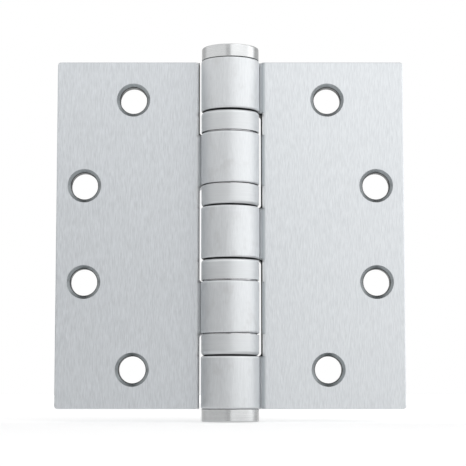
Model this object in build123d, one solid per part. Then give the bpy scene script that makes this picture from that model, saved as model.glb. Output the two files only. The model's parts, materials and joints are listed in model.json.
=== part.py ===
from build123d import *
import os
from math import cos, radians, sin, tan

# Ball bearing butt hinge, full mortise, lying open flat. All sizes are in millimetres.
# +Z runs up the pin and the leaves lie along X, with their countersunk faces towards -Y.
# The origin is on the pin's axis, halfway up the leaves.

# Leaves, rolled from one gauge of sheet
leaf_height = 114.3
open_width = 114.3
gauge = 4.57
closed_gap = 1.6
corner_radius = 1.0
edge_break = 0.3

# Barrel
barrel_diameter = 19.05
knuckle_count = 5
knuckle_rim_radius = 0.7
curl_seam = 0.3
notch_clearance = 0.65
notch_corner_radius = 1.2

# Swage, the offset that brings a leaf forward from the back of the barrel
swage_angle = 45.0
neck_length = 6.75
swage_front_radius = 1.6
swage_back_radius = 3.0

# Screw holes
end_hole_inset = 25.15
end_hole_spacing = 88.9
middle_hole_inset = 9.15
middle_hole_spacing = 31.75
screw_hole_diameter = 8.8
countersink_diameter = 11.1
countersink_angle = 82.0

# Pin and tips
pin_clearance = 0.05
tip_inset = 0.15
tip_height = 4.15
tip_rim_radius = 0.45
tip_foot_radius = 0.15
plug_length = 9.0
pin_end_gap = 0.5
pin_end_chamfer = 0.8

# Thrust bearings between the knuckles
bearing_height = 7.2
cup_inset = 0.075
cup_wall = 0.65
cup_shoulder_radius = 1.4
skirt_gap = 0.35
race_clearance = 0.1
ball_diameter = 2.381
ball_count = 6
groove_depth = 0.2
raceway_clearance = 0.08
cage_thickness = 1.0
cage_web = 0.3
pocket_clearance = 0.06

# Sizes that follow from those above
barrel_radius = barrel_diameter / 2
bore_radius = barrel_radius - gauge
pin_radius = bore_radius - pin_clearance
tip_radius = barrel_radius - tip_inset
leaf_width = open_width / 2
leaf_front = closed_gap / 2
leaf_back = leaf_front + gauge
leaf_top = leaf_height / 2
swage_drop = bore_radius - leaf_front
swage_run = swage_drop / tan(radians(swage_angle))
bend_shift = gauge * tan(radians(swage_angle / 2))
notch_edge = barrel_radius + notch_clearance
knuckle_height = (leaf_height - (knuckle_count - 1) * bearing_height) / knuckle_count
knuckle_pitch = knuckle_height + bearing_height
cup_radius = barrel_radius - cup_inset
skirt_radius = cup_radius - cup_wall
race_radius = skirt_radius - race_clearance
ball_radius = ball_diameter / 2
ball_pitch_radius = (pin_radius + skirt_radius) / 2
ball_gap = ball_diameter - 2 * groove_depth
race_thickness = (bearing_height - ball_gap) / 2
bearing_middle = bearing_height / 2
groove_radius = ball_radius + raceway_clearance
pocket_radius = ball_radius + pocket_clearance


def knuckle_top(number):
    """Height of the upper end of a knuckle, counted from 1 at the top of the barrel."""
    return leaf_top - (number - 1) * knuckle_pitch


def turned(section):
    """Solid of revolution about the pin's axis from a face in the XZ plane."""
    return revolve(section, Axis.Z)


def ring_section(inner, outer, low, high):
    """Rectangle in the XZ plane between two radii and two heights."""
    middle = Pos((inner + outer) / 2, (low + high) / 2)
    return Plane.XZ * middle * Rectangle(outer - inner, high - low)


def rounded(section, radius, at_top):
    """Round one outer corner of a ring section."""
    corners = section.vertices().group_by(Axis.Z)[-1 if at_top else 0]
    return fillet(corners.sort_by(Axis.X)[-1], radius)


# Leaves

neck_bend = (neck_length, bore_radius)
leaf_bend = (neck_length + swage_run, leaf_front)


def leaf_section():
    """Section of a leaf's sheet, from the back of the barrel out to the free edge."""
    front = FilletPolyline(
        (0, bore_radius),
        neck_bend,
        leaf_bend,
        (leaf_width, leaf_front),
        radius=swage_front_radius,
    )
    back = FilletPolyline(
        (leaf_width, leaf_back),
        (leaf_bend[0] + bend_shift, leaf_back),
        (neck_bend[0] + bend_shift, barrel_radius),
        (0, barrel_radius),
        radius=swage_back_radius,
    )
    free_edge = Line(front @ 1, back @ 0)
    root = Line(back @ 1, front @ 0)
    return make_face([*front.edges(), *free_edge.edges(), *back.edges(), *root.edges()])


def seam_cut():
    """Narrow gap where the end of the curl comes down onto its own leaf."""
    angle = radians(swage_angle)
    step = (-curl_seam * sin(angle), -curl_seam * cos(angle))
    outline = Polyline(
        (0, bore_radius),
        neck_bend,
        leaf_bend,
        (leaf_bend[0] + step[0], leaf_bend[1] + step[1]),
        (neck_bend[0] - curl_seam * tan(angle / 2), bore_radius - curl_seam),
        (0, bore_radius - curl_seam),
        close=True,
    )
    return extrude(make_face(outline), leaf_height, both=True)


def sheet():
    """The whole sheet before its notches and holes, with its corners and edges broken."""
    plate = extrude(leaf_section(), leaf_top, both=True)
    free_corners = plate.edges().filter_by(Axis.Y).group_by(Axis.X)[-1]
    plate = fillet(free_corners, corner_radius)
    faces = plate.faces().filter_by(Axis.Y).sort_by(Axis.Y)
    rims = [edge for face in faces if face.center().X > notch_edge for edge in face.edges()]
    outer_rims = [edge for edge in rims if edge.center().X > leaf_bend[0] + swage_back_radius]
    return chamfer(outer_rims, edge_break)


def knuckle(number, seam):
    """One knuckle as a turned ring with rounded rims, open at its seam."""
    high = knuckle_top(number)
    section = ring_section(bore_radius, barrel_radius, high - knuckle_height, high)
    section = rounded(section, knuckle_rim_radius, True)
    section = rounded(section, knuckle_rim_radius, False)
    return turned(section) - seam


def notch(above, below):
    """Cutter between two knuckles of one leaf, or past the end where a knuckle is missing."""
    high = knuckle_top(above) - knuckle_height
    low = knuckle_top(below)
    depth = notch_edge + barrel_radius
    cutter = Box(depth, 4 * barrel_radius, high - low)
    cutter = fillet(cutter.edges().filter_by(Axis.Y).group_by(Axis.X)[-1], notch_corner_radius)
    return Pos(notch_edge - depth / 2, 0, (high + low) / 2) * cutter


def with_broken_notches(plate):
    """The notched sheet with the long edges of its notches chamfered, front and back."""
    inner_faces = plate.faces().filter_by(Axis.X)
    notch_faces = [face for face in inner_faces if barrel_radius < face.center().X < leaf_bend[0]]
    rims = [edge for face in notch_faces for edge in face.edges().filter_by(Axis.Z)]
    return chamfer(rims, edge_break)


def screw_hole(across, height):
    """Countersunk hole through the leaf, its wide end at the front face."""
    hole_radius = screw_hole_diameter / 2
    sink_radius = countersink_diameter / 2
    sink_depth = (sink_radius - hole_radius) / tan(radians(countersink_angle / 2))
    from_front = (Align.CENTER, Align.CENTER, Align.MIN)
    cutter = Cylinder(hole_radius, gauge, align=from_front)
    cutter += Cone(sink_radius, hole_radius, sink_depth, align=from_front)
    front = Plane((across, leaf_front, height), x_dir=(1, 0, 0), z_dir=(0, 1, 0))
    return front * cutter


def leaf(knuckles):
    """A leaf on the +X side that carries the given knuckles."""
    body = sheet()
    ends = [min(knuckles) - 2, *knuckles, max(knuckles) + 2]
    for above, below in zip(ends, ends[1:]):
        body -= notch(above, below)
    body = with_broken_notches(body)
    seam = seam_cut()
    for number in knuckles:
        body += knuckle(number, seam)
    for side in (-1, 1):
        body -= screw_hole(leaf_width - end_hole_inset, side * end_hole_spacing / 2)
        body -= screw_hole(leaf_width - middle_hole_inset, side * middle_hole_spacing / 2)
    return body


# Pin and tips

def hinge_pin():
    """Pin with its flat button head resting on the top knuckle."""
    foot = plug_length + pin_end_gap - leaf_top
    shank = Plane.XZ * Pos(pin_radius / 2, (foot + leaf_top) / 2) * Rectangle(pin_radius, leaf_top - foot)
    shank = chamfer(shank.vertices().group_by(Axis.Z)[0].sort_by(Axis.X)[-1], pin_end_chamfer)
    head = ring_section(0, tip_radius, leaf_top, leaf_top + tip_height)
    head = rounded(rounded(head, tip_rim_radius, True), tip_foot_radius, False)
    return turned(shank) + turned(head)


def bottom_tip():
    """Flat button that closes the bottom knuckle, with the plug that holds it in the bore."""
    plug = ring_section(0, pin_radius, -leaf_top, plug_length - leaf_top)
    plug = chamfer(plug.vertices().group_by(Axis.Z)[-1].sort_by(Axis.X)[-1], pin_end_chamfer)
    button = ring_section(0, tip_radius, -leaf_top - tip_height, -leaf_top)
    button = rounded(rounded(button, tip_rim_radius, False), tip_foot_radius, True)
    return turned(plug) + turned(button)


# Bearings, each built upwards from the cup's knuckle at height 0

def groove():
    """Ring that cuts the ball track into the cup and the race."""
    return turned(Plane.XZ * Pos(ball_pitch_radius, bearing_middle) * Circle(groove_radius))


def bearing_cup():
    """Drawn casing: a base with the ball track, a rounded shoulder and a skirt over the balls."""
    shell = ring_section(pin_radius + pin_clearance, cup_radius, 0, bearing_height - skirt_gap)
    shell = rounded(shell, cup_shoulder_radius, False)
    hollow = ring_section(0, skirt_radius, race_thickness, bearing_height)
    return turned(shell) - turned(hollow) - groove()


def bearing_race():
    """Flat ring with the other ball track, seated on the two-knuckle leaf."""
    low = bearing_height - race_thickness
    return turned(ring_section(pin_radius + pin_clearance, race_radius, low, bearing_height)) - groove()


def around(shape):
    """One copy of a shape for each ball, spaced evenly round the pin."""
    return PolarLocations(ball_pitch_radius, ball_count) * shape


def bearing_cage():
    """Flat retainer ring with one pocket for each ball."""
    reach = pocket_radius + cage_web
    low = bearing_middle - cage_thickness / 2
    ring = ring_section(ball_pitch_radius - reach, ball_pitch_radius + reach, low, low + cage_thickness)
    pocket = Pos(0, 0, bearing_middle) * Cylinder(pocket_radius, 2 * cage_thickness)
    return turned(ring) - around(pocket)


def bearing_balls():
    """The balls of one bearing, as separate solids."""
    return Compound(around(Pos(0, 0, bearing_middle) * Sphere(ball_radius)))


def bearing_place(number):
    """Place of a bearing, turned over where the cup's knuckle lies above it."""
    if number % 2:
        return Pos(0, 0, knuckle_top(number) - knuckle_height) * Rot(180, 0, 0)
    return Pos(0, 0, knuckle_top(number + 1))


# Nodes

all_knuckles = range(1, knuckle_count + 1)
nodes = {
    "three_knuckle_leaf": leaf([number for number in all_knuckles if number % 2]),
    "two_knuckle_leaf": mirror(leaf([number for number in all_knuckles if not number % 2]), Plane.YZ),
    "hinge_pin": hinge_pin(),
    "bottom_tip": bottom_tip(),
}
pieces = {
    "cup": bearing_cup(),
    "race": bearing_race(),
    "cage": bearing_cage(),
    "balls": bearing_balls(),
}
for number in range(1, knuckle_count):
    for name, piece in pieces.items():
        nodes[f"bearing_{number}_{name}"] = bearing_place(number) * piece

os.makedirs("parts", exist_ok=True)
for name, solid in nodes.items():
    export_step(solid, f"parts/{name}.step")
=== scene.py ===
import json
from math import atan2, cos, radians, sin

import bmesh
import bpy
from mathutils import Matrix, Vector


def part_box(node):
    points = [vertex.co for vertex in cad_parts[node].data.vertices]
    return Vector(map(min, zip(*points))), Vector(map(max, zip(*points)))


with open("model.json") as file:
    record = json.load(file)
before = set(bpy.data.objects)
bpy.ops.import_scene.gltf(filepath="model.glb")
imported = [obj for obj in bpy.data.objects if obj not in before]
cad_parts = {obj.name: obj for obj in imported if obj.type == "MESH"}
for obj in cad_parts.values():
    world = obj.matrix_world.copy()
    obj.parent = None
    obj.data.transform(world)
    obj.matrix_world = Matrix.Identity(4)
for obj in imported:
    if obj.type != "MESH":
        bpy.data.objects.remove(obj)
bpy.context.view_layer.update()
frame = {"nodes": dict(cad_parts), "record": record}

MM = 0.001

# Sizes and places of the hinge from the frame, in metres
mounts = {mount["name"]: mount for mount in frame["record"]["mounts"]}
end_screws = mounts["jamb_leaf_end_screws"]
middle_screws = mounts["jamb_leaf_middle_screws"]
hole_radius = end_screws["dims"]["hole_r_mm"] * MM
leaf_back = end_screws["pos_m"][1]
leaf_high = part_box("three_knuckle_leaf")[1]
leaf_top = leaf_high.z
barrel_radius = leaf_high.y
knuckle_1_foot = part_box("bearing_1_cup")[1].z
knuckle_2_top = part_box("bearing_1_race")[0].z
knuckle_2_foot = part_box("bearing_2_race")[1].z
knuckle_3_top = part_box("bearing_2_cup")[0].z
floor_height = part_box("bottom_tip")[0].z

# Sizes of the leaf that the frame doesn't name
GAUGE = 4.57 * MM
COUNTERSINK_RADIUS = 5.55 * MM
NOTCH_GAP = 0.65 * MM
leaf_front = leaf_back - GAUGE
notch_edge = barrel_radius + NOTCH_GAP

# Camera, level with the foot of the hinge and tilted up to its middle
CAMERA_DISTANCE = 0.5065
CAMERA_SIDE = 0.9 * MM
EYE_HEIGHT = -51.3 * MM
AIM_HEIGHT = 0.15 * MM
LENS_MM = 120.1
SENSOR_MM = 36.0
CLIP_NEAR = 0.01
CLIP_FAR = 20.0

# Floor: its own glow in front of the hinge, under its back and far off, and where one passes into the next
FLOOR_SIZE = 3.0
FLOOR_GREY = 0.85
FLOOR_ROUGH = 0.9
FRONT_GLOW = 0.22
BACK_GLOW = 0.34
FAR_GLOW = 0.8
FRONT_TO_BACK = (-0.03, 0.01)
NEAR_TO_FAR = (0.4, 1.1)

# Surround and key lamp
MATT_LIGHT = 0.55
KEY_PLACE = (0.45, -0.6, 0.7)
KEY_AIM = (0.02, 0, 0)
KEY_SIZE = 0.5
KEY_POWER = 0.8
WHITE = (1, 1, 1, 1)

# Screen: strengths at the foot and head of a rise in height, and degrees from the camera's side, rightwards
SCREEN_RADIUS = 1.3
SCREEN_RISE = (-0.104, 0.39)
SCREEN_SWEEP = 340
SCREEN_STEPS = 64
RIGHT_BOX = (1.45, 0.72)
LEFT_BOX = (0.33, 0.3)
GAP_FILL = (0.02, 0.89)
BEHIND = (0.0, 0.7)
SIDE_GAIN = 1.5
RIGHT_BOX_EDGE = (-3, 6)
LEFT_BOX_EDGE = (-12, -22)
SIDE_GAIN_EDGE = (62, 95)
RIGHT_END = (122, 95)
LEFT_END = (-130, -103)

# Tones of the finishes, from dark to light
# The two leaves share one finish; the left leaf's tones are darker than the right's as painted shade.
RIGHT_LEAF_LIT_TONES = ((0.59, 0.612, 0.632), (0.70, 0.724, 0.744))
LEFT_LEAF_SHADED_TONES = ((0.526, 0.547, 0.568), (0.634, 0.658, 0.682))
KNUCKLE_TONES = ((0.568, 0.584, 0.597), (0.632, 0.649, 0.663))
# The countersinks' tones are darker than the leaf face as painted shade; their turning marks are real
COUNTERSINK_SHADED_TONES = ((0.375, 0.40, 0.412), (0.49, 0.522, 0.538))
TIP_TONES = ((0.51, 0.518, 0.522), (0.59, 0.598, 0.602))
CUP_TONES = ((0.545, 0.56, 0.571), (0.595, 0.611, 0.622))
STEEL_TONES = ((0.42, 0.42, 0.43), (0.52, 0.52, 0.53))
BRASS_TONES = ((0.50, 0.37, 0.16), (0.62, 0.48, 0.24))
HANDLED_TONE = (0.50, 0.505, 0.508)
# Painted highlight on the swage's front slope, and painted shade beside the right leaf's knuckles
PAINTED_HIGHLIGHT_TONE = (0.9, 0.91, 0.915)
SWAGE_SHADE_TONE = (0.52, 0.547, 0.563)
# Near-black tone of the painted shade in the grooves and on the notch edges, and of the darkening round the
# holes
NEAR_BLACK_TONE = (0.05, 0.05, 0.048)

# Grain of the finishes: features for each metre along x, y and z, and its detail
FINE_GRAIN = ((5200, 5200, 370), 3)
BROAD_GRAIN = ((2400, 2400, 170), 3)
SMUDGE_GRAIN = ((260, 260, 190), 4)
CLOUD_GRAIN = ((300, 300, 420), 3)
RING_STRETCH = 90
RING_DETAIL = 4
GRAIN_ROUGHNESS = 0.55
MAIN_SHARE = 0.7
OTHER_SHARE = 0.3

# Levels of the grain between which tones, smudges and gloss change
GRAIN_RANGE = (0.3, 0.7)
LAY_RANGE = (0.37, 0.63)
SMUDGE_RANGE = (0.52, 0.72)
SMUDGE_MOST = 0.45

# Lay, gloss and bump of the brushed and turned metal, a bump as its depth and strength
UPRIGHT_LAY = 0.25
ROUND_LAY = 0.0
LEAF_ANISOTROPY = 0.76
LEAF_ROUGH = (0.36, 0.46)
COUNTERSINK_ROUGH = 0.34
TURNED_ROUGH_SPREAD = (-0.04, 0.05)
LEAF_BUMP = (0.006 * MM, 0.35)
TURNED_BUMP = (0.005 * MM, 0.3)

# Turning marks of a countersink, in radians for each metre outwards
COUNTERSINK_MARKS = 26000.0

# Share of the barrel's radius within which the knuckles' own tones are full
KNUCKLE_SHARE = 0.94

# Bands of painted highlight and painted shade on the front slope of the swage, outwards from the notch edge
HIGHLIGHT_BAND = (1.2 * MM, 0.6 * MM)
ROOT_BAND = (0.5 * MM, 0.1 * MM)
SWAGE_SHADE_BAND = (1.65 * MM, 0.95 * MM)
ROOT_HIGHLIGHT = 0.6

# Painted shade in the grooves, between two depths below the barrel's face, and at the tips near their seams
# only
LEAF_GROOVE_SHADE = (0.12 * MM, 0.5 * MM)
TIP_GROOVE_SHADE = (0.185 * MM, 0.375 * MM)
CUP_GROOVE_SHADE = (0.325 * MM, 0.875 * MM)
TIP_SEAM = (0.5 * MM, 0.2 * MM)

# Painted shade on the sheared notch edges, on the left leaf full only above two shares of its half height
NOTCH_SHADE_WIDTH = 0.2 * MM
NOTCH_SHADE_EXTRA = 0.14 * MM
LEFT_NOTCH_SHADE_SHARES = (0.4, 0.5)
LEFT_NOTCH_SHADE_LEAST = 0.15

# Darkening round the holes, and margins that tell a countersink from the face round it
HOLE_RIM = (0.3 * MM, 0.1 * MM)
HOLE_RIM_DARKENING = 0.9
SINK_MARGIN = 0.02 * MM
FACE_MARGIN = 0.03 * MM


# Node helpers

def new_material(name):
    """A new material, its tree and its shader."""
    material = bpy.data.materials.new(name)
    material.use_nodes = True
    tree = material.node_tree
    return material, tree, tree.nodes["Principled BSDF"]


def add(tree, kind, links=None, **settings):
    """A node with its settings, and sockets that take either a value or another node's output."""
    made = tree.nodes.new(kind)
    for name, value in settings.items():
        setattr(made, name, value)
    for socket, value in (links or {}).items():
        if isinstance(value, bpy.types.NodeSocket):
            tree.links.new(value, made.inputs[socket])
        else:
            made.inputs[socket].default_value = value
    return made


def calc(tree, operation, *values):
    """The result of a math node."""
    return add(tree, "ShaderNodeMath", dict(enumerate(values)), operation=operation).outputs[0]


def ramp(tree, value, low, high, to_low=0.0, to_high=1.0):
    """A value carried smoothly from one range to another."""
    sockets = {"Value": value, "From Min": low, "From Max": high, "To Min": to_low, "To Max": to_high}
    made = add(tree, "ShaderNodeMapRange", sockets, interpolation_type="SMOOTHSTEP")
    return made.outputs["Result"]


def between(tree, value, low, high):
    """1 where a value lies between two others, else 0."""
    above = calc(tree, "GREATER_THAN", value, low)
    below = calc(tree, "LESS_THAN", value, high)
    return calc(tree, "MULTIPLY", above, below)


def distance(tree, one, other):
    """Straight distance over two sides at a right angle."""
    squares = [calc(tree, "POWER", side, 2.0) for side in (one, other)]
    return calc(tree, "SQRT", calc(tree, "ADD", *squares))


def blend(tree, mask, first, second):
    """A number between two others. The mix node's sockets go by number, because their names repeat."""
    return add(tree, "ShaderNodeMix", {0: mask, 2: first, 3: second}, data_type="FLOAT").outputs[0]


def rgba(colour):
    """A plain tone made opaque, or another node's colour as it is."""
    return (*colour, 1) if isinstance(colour, tuple) else colour


def mixed(tree, mask, first, second):
    """A colour between two others, each a plain tone or another node's colour."""
    sockets = {0: mask, 6: rgba(first), 7: rgba(second)}
    return add(tree, "ShaderNodeMix", sockets, data_type="RGBA").outputs[2]


def darkened(tree, colour, mask):
    """A colour darkened towards a near-black tone: painted shade in the grooves and on the notch edges, and
    the darkening round the holes.
    """
    return mixed(tree, mask, colour, NEAR_BLACK_TONE)


def grain(tree, place, stretch, detail):
    """Noise drawn out by a stretch in each direction."""
    mapped = add(tree, "ShaderNodeMapping", {"Vector": place, "Scale": stretch})
    sockets = {"Vector": mapped.outputs[0], "Scale": 1.0, "Detail": detail, "Roughness": GRAIN_ROUGHNESS}
    return add(tree, "ShaderNodeTexNoise", sockets).outputs["Fac"]


def two_grains(tree, main, other):
    """Two grains laid over each other, the main one stronger."""
    shares = ((main, MAIN_SHARE), (other, OTHER_SHARE))
    return calc(tree, "ADD", *[calc(tree, "MULTIPLY", noise, share) for noise, share in shares])


def object_place(tree):
    """Object coordinates, and their three parts."""
    place = add(tree, "ShaderNodeTexCoord").outputs["Object"]
    parts = add(tree, "ShaderNodeSeparateXYZ", {0: place})
    return place, parts.outputs[0], parts.outputs[1], parts.outputs[2]


def brushed_metal(tree, shader, colour, rough, anisotropy, lay, marks, bump):
    """Connects a metal's colour and roughness, with its lay against the pin and the bump of its marks."""
    depth, strength = bump
    along_pin = add(tree, "ShaderNodeCombineXYZ", {2: 1.0})
    raised = add(tree, "ShaderNodeBump", {"Height": marks, "Distance": depth, "Strength": strength})
    tree.links.new(colour, shader.inputs["Base Color"])
    tree.links.new(rough, shader.inputs["Roughness"])
    tree.links.new(along_pin.outputs[0], shader.inputs["Tangent"])
    tree.links.new(raised.outputs[0], shader.inputs["Normal"])
    shader.inputs["Metallic"].default_value = 1.0
    shader.inputs["Anisotropic"].default_value = anisotropy
    shader.inputs["Anisotropic Rotation"].default_value = lay


# Places on the hinge

def groove(tree, x, y, depths):
    """1 deep in the grooves between the pieces of the barrel, 0 on its outer face."""
    outer, inner = (barrel_radius - depth for depth in depths)
    return ramp(tree, distance(tree, x, y), outer, inner)


def hole_distance(tree, across, along):
    """Distance from the nearest screw hole's axis, across the leaf."""
    distances = []
    for screws in (end_screws, middle_screws):
        from_x = calc(tree, "SUBTRACT", across, screws["pos_m"][0])
        from_z = calc(tree, "SUBTRACT", along, screws["dims"]["spacing_y_mm"] / 2 * MM)
        distances.append(distance(tree, from_x, from_z))
    return calc(tree, "MINIMUM", *distances)


def beside_cup(tree, along):
    """1 at the heights of the bearing cups, else 0."""
    upper = between(tree, along, knuckle_2_top, knuckle_1_foot)
    lower = between(tree, along, knuckle_3_top, knuckle_2_foot)
    return calc(tree, "MAXIMUM", upper, lower)


def beside_notch(tree, right, along):
    """1 at the heights where a leaf is notched to clear the other leaf's knuckles, else 0."""
    right_notch = between(tree, along, knuckle_3_top, knuckle_1_foot)
    left_knuckle = between(tree, along, knuckle_2_foot, knuckle_2_top)
    left_notch = calc(tree, "SUBTRACT", 1.0, left_knuckle)
    return blend(tree, right, left_notch, right_notch)


def notch_band(tree, across, band):
    """1 beside the notch edge, falling to 0 over a band outwards from it."""
    return ramp(tree, across, notch_edge + band[0], notch_edge + band[1])


class LeafPlace:
    """Where a point of the leaves lies: its coordinates, its side, what it is beside and its nearest hole."""

    def __init__(self, tree):
        self.point, self.x, self.y, self.z = object_place(tree)
        self.across = calc(tree, "ABSOLUTE", self.x)
        self.along = calc(tree, "ABSOLUTE", self.z)
        self.right = calc(tree, "GREATER_THAN", self.x, 0.0)
        self.at_cup = beside_cup(tree, self.along)
        self.right_cup = calc(tree, "MULTIPLY", self.right, self.at_cup)
        self.from_hole = hole_distance(tree, self.across, self.along)


# Finish of the leaves

def brushed_tones(tree, leaf, streak):
    """Brushed chrome of the flat leaves, the left painted darker than the right as shade, and of the knuckles
    with the smudges of handling.
    """
    lay = ramp(tree, streak, *LAY_RANGE)
    # Left leaf painted darker than the right as shade
    flats = [mixed(tree, lay, *tones) for tones in (LEFT_LEAF_SHADED_TONES, RIGHT_LEAF_LIT_TONES)]
    flat = mixed(tree, leaf.right, *flats)
    smudge = grain(tree, leaf.point, *SMUDGE_GRAIN)
    worn = ramp(tree, smudge, *SMUDGE_RANGE, 0.0, SMUDGE_MOST)
    curled = mixed(tree, worn, mixed(tree, lay, *KNUCKLE_TONES), HANDLED_TONE)
    on_barrel = ramp(tree, leaf.across, barrel_radius, KNUCKLE_SHARE * barrel_radius)
    return mixed(tree, on_barrel, flat, curled)


def swage_bands(tree, leaf, colour):
    """Front slope of the swage: a painted highlight along it, and painted shade beside the right leaf's
    knuckles.
    """
    in_front = calc(tree, "LESS_THAN", leaf.y, leaf_back - GAUGE / 2)
    off_barrel = calc(tree, "GREATER_THAN", leaf.across, barrel_radius)
    slope = notch_band(tree, leaf.across, HIGHLIGHT_BAND)
    root = notch_band(tree, leaf.across, ROOT_BAND)
    bend = notch_band(tree, leaf.across, SWAGE_SHADE_BAND)

    right_highlight = blend(tree, leaf.at_cup, calc(tree, "MULTIPLY", root, ROOT_HIGHLIGHT), slope)
    highlight = blend(tree, leaf.right, slope, right_highlight)
    highlight = calc(tree, "MULTIPLY", calc(tree, "MULTIPLY", in_front, off_barrel), highlight)
    # Painted highlight along the swage's front slope
    colour = mixed(tree, highlight, colour, PAINTED_HIGHLIGHT_TONE)

    # Painted shade on the flat beside the right leaf's knuckles
    right_knuckle = calc(tree, "SUBTRACT", leaf.right, leaf.right_cup)
    above_root = calc(tree, "SUBTRACT", bend, calc(tree, "MULTIPLY", bend, root))
    shaded_band = calc(tree, "MULTIPLY", calc(tree, "MULTIPLY", in_front, right_knuckle), above_root)
    return mixed(tree, shaded_band, colour, SWAGE_SHADE_TONE)


def notch_edge_shade(tree, leaf):
    """1 on the sheared edges of the notches, where shade is painted, fainter low on the left leaf, and 0
    elsewhere.
    """
    edge = calc(tree, "MULTIPLY_ADD", leaf.right_cup, NOTCH_SHADE_EXTRA, notch_edge + NOTCH_SHADE_WIDTH)
    on_edge = between(tree, leaf.across, barrel_radius, edge)
    shaded_edge = calc(tree, "MULTIPLY", beside_notch(tree, leaf.right, leaf.along), on_edge)
    low, high = (share * leaf_top for share in LEFT_NOTCH_SHADE_SHARES)
    on_left = ramp(tree, leaf.z, low, high, LEFT_NOTCH_SHADE_LEAST, 1.0)
    return calc(tree, "MULTIPLY", shaded_edge, blend(tree, leaf.right, on_left, 1.0))


def in_countersink(tree, leaf):
    """1 in the countersinks and holes, else 0."""
    near_hole = calc(tree, "LESS_THAN", leaf.from_hole, COUNTERSINK_RADIUS + SINK_MARGIN)
    below_face = calc(tree, "GREATER_THAN", leaf.y, leaf_front + FACE_MARGIN)
    return calc(tree, "MULTIPLY", near_hole, below_face)


def shaded_countersink(tree, leaf):
    """Turned metal of the countersinks, darkened as painted shade, and darker towards the hole."""
    wave = calc(tree, "SINE", calc(tree, "MULTIPLY", leaf.from_hole, COUNTERSINK_MARKS))
    # Turning marks in tones darkened as painted shade
    shaded_turning = mixed(tree, ramp(tree, wave, -1.0, 1.0), *COUNTERSINK_SHADED_TONES)
    outer, inner = (hole_radius + margin for margin in HOLE_RIM)
    return darkened(tree, shaded_turning, ramp(tree, leaf.from_hole, outer, inner, 0.0, HOLE_RIM_DARKENING))


def satin_leaf():
    """Satin chrome on the leaves and knuckles, brushed along the height, with turned countersinks; painted
    shade on the left leaf, notch edges, countersinks and grooves, and painted highlight and shade on the
    swage.
    """
    material, tree, shader = new_material("satin_chrome_leaf")
    leaf = LeafPlace(tree)
    fine = grain(tree, leaf.point, *FINE_GRAIN)
    streak = two_grains(tree, fine, grain(tree, leaf.point, *BROAD_GRAIN))
    sunk = in_countersink(tree, leaf)
    colour = swage_bands(tree, leaf, brushed_tones(tree, leaf, streak))
    # Painted shade on the notch edges
    colour = darkened(tree, colour, notch_edge_shade(tree, leaf))
    # Countersinks darkened as painted shade
    colour = mixed(tree, sunk, colour, shaded_countersink(tree, leaf))
    # Painted shade in the grooves of the barrel
    colour = darkened(tree, colour, groove(tree, leaf.x, leaf.y, LEAF_GROOVE_SHADE))
    rough = blend(tree, sunk, ramp(tree, streak, *GRAIN_RANGE, *LEAF_ROUGH), COUNTERSINK_ROUGH)
    brushed_metal(tree, shader, colour, rough, LEAF_ANISOTROPY, UPRIGHT_LAY, fine, LEAF_BUMP)
    return material


# Finish of the tips and bearings

def turned_metal(name, tones, rough, anisotropy, rings, groove_shade=None, lay=ROUND_LAY):
    """Metal turned on a lathe, with fine rings round the pin, and painted shade between two depths of a
    groove.
    """
    material, tree, shader = new_material(name)
    place, x, y, z = object_place(tree)
    ring = grain(tree, place, (RING_STRETCH, RING_STRETCH, rings), RING_DETAIL)
    mark = two_grains(tree, ring, grain(tree, place, *CLOUD_GRAIN))
    colour = mixed(tree, ramp(tree, mark, *GRAIN_RANGE), *tones)
    # Painted shade in the groove next to the seam
    if groove_shade:
        outer, inner = (leaf_top + height for height in TIP_SEAM)
        at_barrel = ramp(tree, calc(tree, "ABSOLUTE", z), outer, inner)
        colour = darkened(tree, colour, calc(tree, "MULTIPLY", at_barrel, groove(tree, x, y, groove_shade)))
    least, most = (rough + spread for spread in TURNED_ROUGH_SPREAD)
    roughness = ramp(tree, mark, *GRAIN_RANGE, least, most)
    brushed_metal(tree, shader, colour, roughness, anisotropy, lay, ring, TURNED_BUMP)
    return material


# Stage: pale floor, white surround, studio screen, key lamp and camera

def seen_directly(tree):
    """1 for rays that show a surface, as the camera, a reflection or a glass does, else 0."""
    path = add(tree, "ShaderNodeLightPath")
    seen = calc(tree, "MAXIMUM", path.outputs["Is Camera Ray"], path.outputs["Is Glossy Ray"])
    return calc(tree, "MAXIMUM", seen, path.outputs["Is Transmission Ray"])


def stage_piece(name, build, material):
    """A piece of the stage from a function that fills its mesh."""
    mesh = bpy.data.meshes.new(name)
    shape = bmesh.new()
    build(shape)
    shape.to_mesh(mesh)
    shape.free()
    mesh.materials.append(material)
    piece = bpy.data.objects.new(name, mesh)
    bpy.context.collection.objects.link(piece)
    return piece


def floor_sheet(shape):
    """A square under the foot of the hinge."""
    bmesh.ops.create_grid(shape, x_segments=1, y_segments=1, size=FLOOR_SIZE)
    bmesh.ops.translate(shape, verts=shape.verts, vec=(0, 0, floor_height))


def pale_floor():
    """Large floor under the hinge, white wherever it is seen and keeping the shadow."""
    material, tree, shader = new_material("pale_floor")
    x, y = object_place(tree)[1:3]
    near = ramp(tree, y, *FRONT_TO_BACK, FRONT_GLOW, BACK_GLOW)
    far = ramp(tree, distance(tree, x, y), *NEAR_TO_FAR, 0.0, FAR_GLOW - BACK_GLOW)
    glow = calc(tree, "MULTIPLY", seen_directly(tree), calc(tree, "ADD", near, far))
    tree.links.new(glow, shader.inputs["Emission Strength"])
    shader.inputs["Emission Color"].default_value = WHITE
    shader.inputs["Base Color"].default_value = (FLOOR_GREY, FLOOR_GREY, FLOOR_GREY, 1)
    shader.inputs["Roughness"].default_value = FLOOR_ROUGH
    stage_piece("floor", floor_sheet, material)


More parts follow.
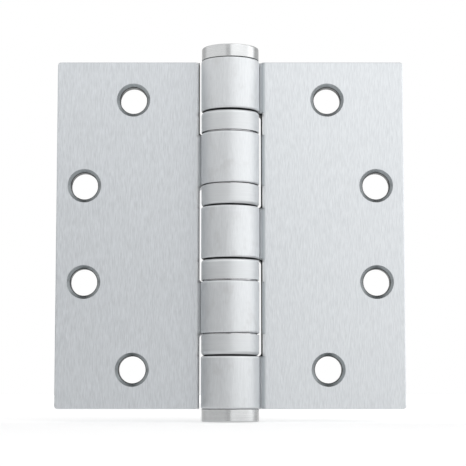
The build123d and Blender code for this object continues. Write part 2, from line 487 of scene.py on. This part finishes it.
def white_surround():
    """White wherever it is seen, and a softer light on everything matt."""
    world = bpy.data.worlds.new("studio")
    bpy.context.scene.world = world
    world.use_nodes = True
    tree = world.node_tree
    background = tree.nodes["Background"]
    background.inputs["Color"].default_value = WHITE
    tree.links.new(blend(tree, seen_directly(tree), MATT_LIGHT, 1.0), background.inputs["Strength"])


def screen_wall(shape):
    """An upright wall round the hinge, open behind it."""
    start = radians(-SCREEN_SWEEP / 2)
    across = (SCREEN_RADIUS * sin(start), -SCREEN_RADIUS * cos(start))
    foot, head = (shape.verts.new((*across, height)) for height in (floor_height, SCREEN_RADIUS))
    upright = [foot, head, shape.edges.new((foot, head))]
    bmesh.ops.spin(shape, geom=upright, cent=(0, 0, 0), axis=(0, 0, 1), dvec=(0, 0, 0),
                   angle=radians(SCREEN_SWEEP), steps=SCREEN_STEPS)


def studio_screen():
    """Round screen about the hinge: bright on the right, dim on the left, with a gap between them."""
    material = bpy.data.materials.new("studio_screen")
    material.use_nodes = True
    tree = material.node_tree
    tree.nodes.remove(tree.nodes["Principled BSDF"])
    x, y, z = object_place(tree)[1:]
    turn = calc(tree, "ARCTAN2", x, calc(tree, "MULTIPLY", y, -1.0))

    def rising(levels):
        """Strength from a level at the screen's foot to one higher up."""
        return ramp(tree, z, *SCREEN_RISE, *levels)

    def turning(angles, to_low=0.0, to_high=1.0):
        """A value that changes over an angle round the screen."""
        return ramp(tree, turn, *map(radians, angles), to_low, to_high)

    right = calc(tree, "MULTIPLY", turning(RIGHT_BOX_EDGE), turning(SIDE_GAIN_EDGE, 1.0, SIDE_GAIN))
    left = turning(LEFT_BOX_EDGE)
    strength = rising(GAP_FILL)
    for box, levels in ((right, RIGHT_BOX), (left, LEFT_BOX)):
        strength = calc(tree, "ADD", strength, calc(tree, "MULTIPLY", box, rising(levels)))
    in_front = calc(tree, "MULTIPLY", turning(LEFT_END), turning(RIGHT_END))
    strength = blend(tree, in_front, rising(BEHIND), strength)
    glow = add(tree, "ShaderNodeEmission", {"Strength": strength})
    tree.links.new(glow.outputs[0], tree.nodes["Material Output"].inputs["Surface"])
    screen = stage_piece("studio_screen", screen_wall, material)
    screen.visible_camera = False


def key_lamp():
    """A square soft box above the camera's right, turned towards the hinge."""
    lamp = bpy.data.lights.new("key", "AREA")
    lamp.shape = "SQUARE"
    lamp.size = KEY_SIZE
    lamp.energy = KEY_POWER
    holder = bpy.data.objects.new("key", lamp)
    holder.location = KEY_PLACE
    holder.rotation_euler = (Vector(KEY_AIM) - Vector(KEY_PLACE)).to_track_quat("-Z", "Y").to_euler()
    bpy.context.collection.objects.link(holder)


def photo_camera():
    """Camera at the photograph's viewing angle."""
    data = bpy.data.cameras.new("camera")
    data.sensor_width = SENSOR_MM
    data.lens = LENS_MM
    data.clip_start = CLIP_NEAR
    data.clip_end = CLIP_FAR
    camera = bpy.data.objects.new("camera", data)
    tilt = atan2(AIM_HEIGHT - EYE_HEIGHT, CAMERA_DISTANCE)
    camera.location = (CAMERA_SIDE, -CAMERA_DISTANCE, EYE_HEIGHT)
    camera.rotation_euler = (radians(90) + tilt, 0, 0)
    bpy.context.collection.objects.link(camera)
    bpy.context.scene.camera = camera


# Finishes on the frame's nodes

finishes = {
    "satin_leaf": satin_leaf(),
    "turned_tip": turned_metal(
        "turned_chrome_tip", TIP_TONES, rough=0.18, anisotropy=0.4, rings=5200, groove_shade=TIP_GROOVE_SHADE),
    "bearing_cup": turned_metal(
        "satin_chrome_cup", CUP_TONES, rough=0.42, anisotropy=0.7, rings=3600, groove_shade=CUP_GROOVE_SHADE,
        lay=UPRIGHT_LAY),
    "bearing_steel": turned_metal(
        "ground_bearing_steel", STEEL_TONES, rough=0.2, anisotropy=0.4, rings=4200),
    "bearing_cage": turned_metal(
        "stamped_brass_cage", BRASS_TONES, rough=0.35, anisotropy=0.2, rings=2600),
}
for subpart in frame["record"]["subparts"]:
    node = frame["nodes"][subpart["node"]]
    node.data.materials.clear()
    node.data.materials.append(finishes[subpart["material_slot"]])

# Stage round the hinge

pale_floor()
white_surround()
studio_screen()
key_lamp()
photo_camera()
bpy.context.scene.view_settings.view_transform = "Standard"
